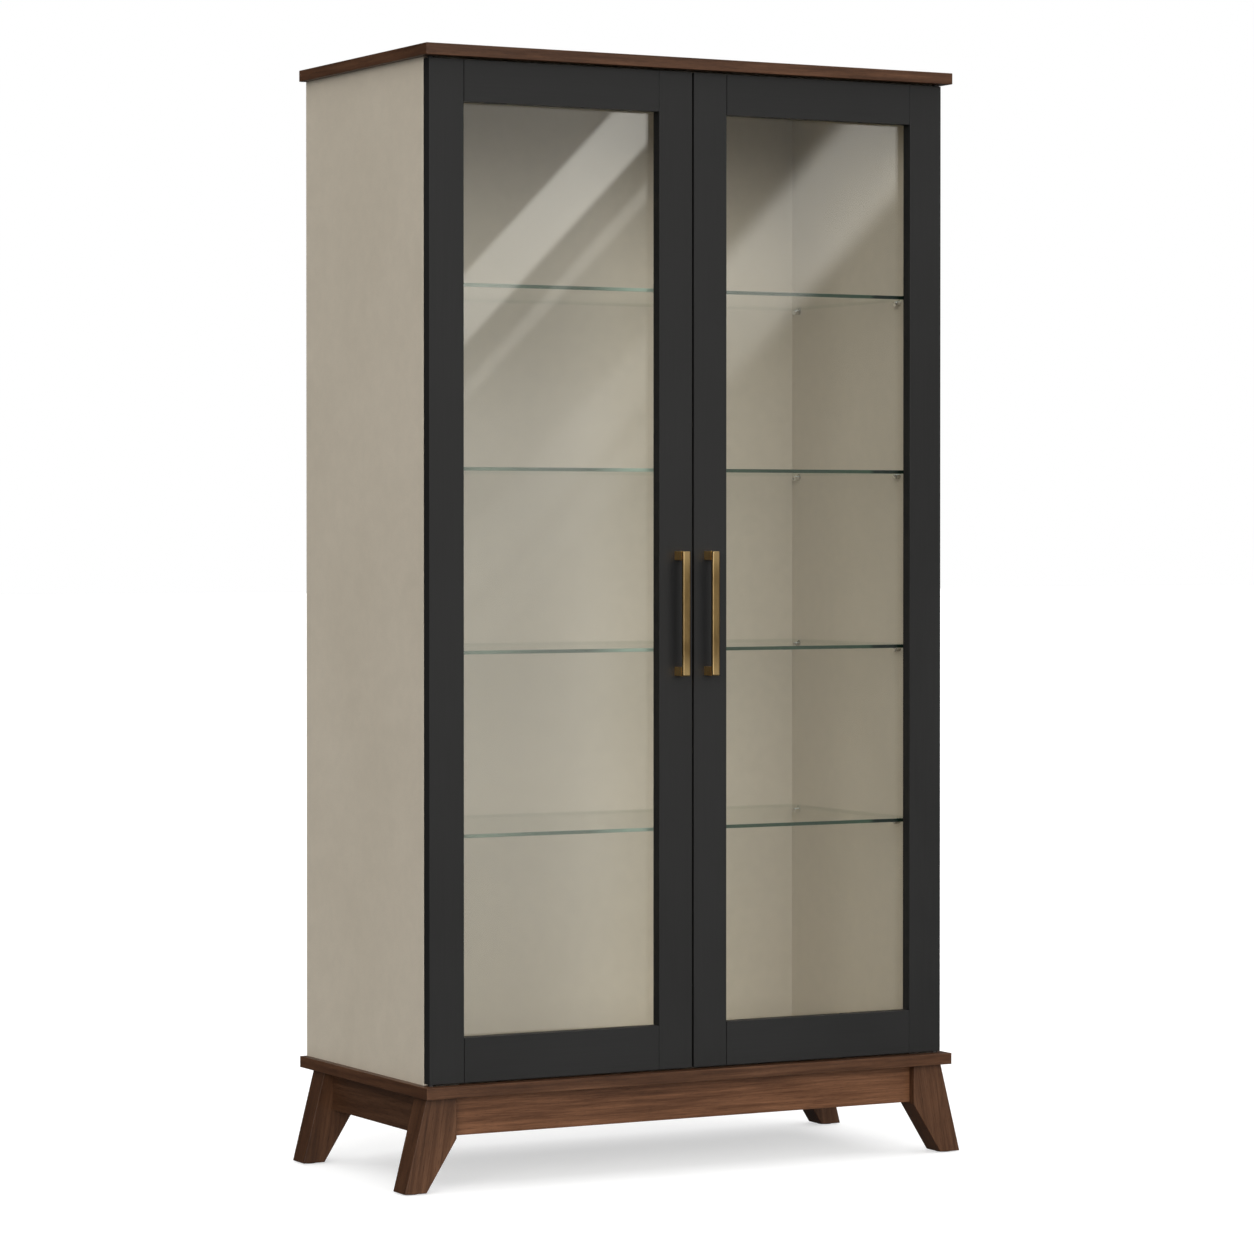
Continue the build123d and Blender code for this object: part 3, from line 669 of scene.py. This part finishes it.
NEUTRAL = (1.0, 1.0, 1.0)
KEY_COLOUR = (1.0, 0.985, 0.96)
FILL_COLOUR = (1.0, 0.985, 0.955)


def broad_light(name, azimuth, elevation, spread, strength, colour):
    """An even, far and very wide light, placed in degrees. Azimuth 0 is in front and grows to the right."""
    data = bpy.data.lights.new(name, "SUN")
    data.angle = math.radians(spread)
    data.energy = math.pi * strength
    data.color = colour
    light = bpy.data.objects.new(name, data)
    a, e = math.radians(azimuth), math.radians(elevation)
    towards = Vector((math.sin(a) * math.cos(e), -math.cos(a) * math.cos(e), math.sin(e)))
    light.rotation_euler = towards.to_track_quat("Z", "Y").to_euler()
    bpy.context.scene.collection.objects.link(light)
    return light


def keep_off_panes(light):
    """Stop the panes from mirroring the light's round outline."""
    panes = bpy.data.collections.new(light.name + "_not_on_panes")
    for door in SIDES:
        panes.objects.link(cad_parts[f"{door}_door_glass"])
    light.light_linking.receiver_collection = panes
    for pane in panes.collection_objects:
        pane.light_linking.link_state = "EXCLUDE"


def make_lights():
    broad_light("overhead", 135.0, 86.0, 90.0, 0.70, NEUTRAL)
    keep_off_panes(broad_light("key", -40.0, 15.0, 36.0, 0.56, KEY_COLOUR))
    keep_off_panes(broad_light("fill", 3.0, 14.0, 32.0, 0.31, FILL_COLOUR))


# Stripes of window light that the doors mirror, as (door, start, end, softness, strength) measured across the
# stripes in metres, on an upright sheet in front of the cabinet and to its right.
STRIPES = (
    ("left", 0.080, 0.262, 0.030, 1.35),
    ("left", -0.072, -0.022, 0.030, 0.45),
    ("left", -0.600, -0.420, 0.070, 0.26),
    ("left", -0.755, -0.655, 0.060, 0.16),
    ("right", -0.800, -0.450, 0.110, 1.00),
)
SHEET_DISTANCE = 3.75
SHEET_X = (0.9, 3.5)
SHEET_Z = (-0.8, 2.8)
# Changes over the sheet, as (from, to, share at from, share at to). The share goes from 0 to 1 where only the
# first two are given.
DOOR_SPLIT = (2.08, 2.20)
FADE_LEFT = (2.2, 3.9, 0.30, 1.0)
FADE_RIGHT = (1.25, 1.85)
HAZE_LEFT_END = (1.80, 2.04, 1.0, 0.14)
HAZE_RIGHT_END = (2.50, 2.72, 1.0, 0.0)
HAZE_LOW = (-0.4, 0.5, 0.62, 1.0)
HAZE_HIGH = (1.30, 1.62, 1.0, 0.50)
HAZE = 0.74
STRIPE_RADIANCE = 2.15
WINDOW_TINT = (1.0, 0.955, 0.875, 1.0)


def make_reflection():
    """The sheet of stripes. It shows only in mirroring surfaces and lights nothing."""
    (left, right), (low, high) = SHEET_X, SHEET_Z
    y = cad_box[0][1] - SHEET_DISTANCE
    corners = [(x, y, z) for x, z in ((left, low), (right, low), (right, high), (left, high))]
    sheet, t, output = flat_face("window_reflection", corners)
    x, _, z = t.split(point(t))
    across = t.math("SUBTRACT", z, x)
    along = t.math("ADD", z, x)
    in_right_door = t.spread(x, *DOOR_SPLIT)
    in_left_door = t.math("SUBTRACT", 1.0, in_right_door)
    gates = {
        "left": t.math("MULTIPLY", in_left_door, t.spread(along, *FADE_LEFT)),
        "right": t.math("MULTIPLY", in_right_door, t.spread(z, *FADE_RIGHT)),
    }
    total = 0.0
    for door, start, end, softness, strength in STRIPES:
        rise = t.spread(across, start - softness / 2, start + softness / 2)
        fall = t.spread(across, end - softness / 2, end + softness / 2, 1.0, 0.0)
        stripe = t.math("MULTIPLY", t.math("MULTIPLY", rise, fall), strength)
        total = t.math("ADD", total, t.math("MULTIPLY", stripe, gates[door]))
    haze_x = t.math("MULTIPLY", t.spread(x, *HAZE_LEFT_END), t.spread(x, *HAZE_RIGHT_END))
    haze_z = t.math("MULTIPLY", t.spread(z, *HAZE_LOW), t.spread(z, *HAZE_HIGH))
    total = t.math("ADD", total, t.math("MULTIPLY", t.math("MULTIPLY", haze_x, haze_z), HAZE))
    glow = t.node("Emission")
    t.put(glow.inputs["Color"], WINDOW_TINT)
    t.put(glow.inputs["Strength"], t.math("MULTIPLY", total, STRIPE_RADIANCE))
    clear = t.node("BsdfTransparent")
    both = t.node("AddShader")
    t.put(both.inputs[0], clear.outputs[0])
    t.put(both.inputs[1], glow.outputs[0])
    t.put(output.inputs["Surface"], both.outputs[0])
    sheet.visible_camera = False
    sheet.visible_diffuse = False
    sheet.visible_transmission = False
    sheet.visible_shadow = False


# ---------------------------------------------------------------- camera

CAMERA_AT = (-3.5447, -6.51045, 1.0726)
CAMERA_TURN = math.radians(-28.547)
CAMERA_TILT = math.radians(90.0 - 0.7)
CAMERA_LENS = 124.62
CAMERA_SENSOR = 36.0
CAMERA_SHIFT = -0.0356
CAMERA_REACH = 200.0
# Light crosses two faces of each pane and shelf, and a view from above crosses every shelf.
SEE_THROUGH_FACES = 32


def make_camera():
    """A long lens held almost level at handle height, so that upright lines stay upright."""
    data = bpy.data.cameras.new("camera")
    data.lens = CAMERA_LENS
    data.sensor_width = CAMERA_SENSOR
    data.shift_y = CAMERA_SHIFT
    data.clip_end = CAMERA_REACH
    camera = bpy.data.objects.new("camera", data)
    camera.location = CAMERA_AT
    camera.rotation_euler = (CAMERA_TILT, 0.0, CAMERA_TURN)
    bpy.context.scene.collection.objects.link(camera)
    bpy.context.scene.camera = camera


bpy.context.scene.view_settings.view_transform = "Standard"
bpy.context.scene.cycles.transparent_max_bounces = SEE_THROUGH_FACES
dress_wood()
dress_case()
for door_name, door_side in SIDES.items():
    dress_door(door_name, door_side)
dress_metal()
make_world()
make_floor()
make_lights()
make_reflection()
make_camera()
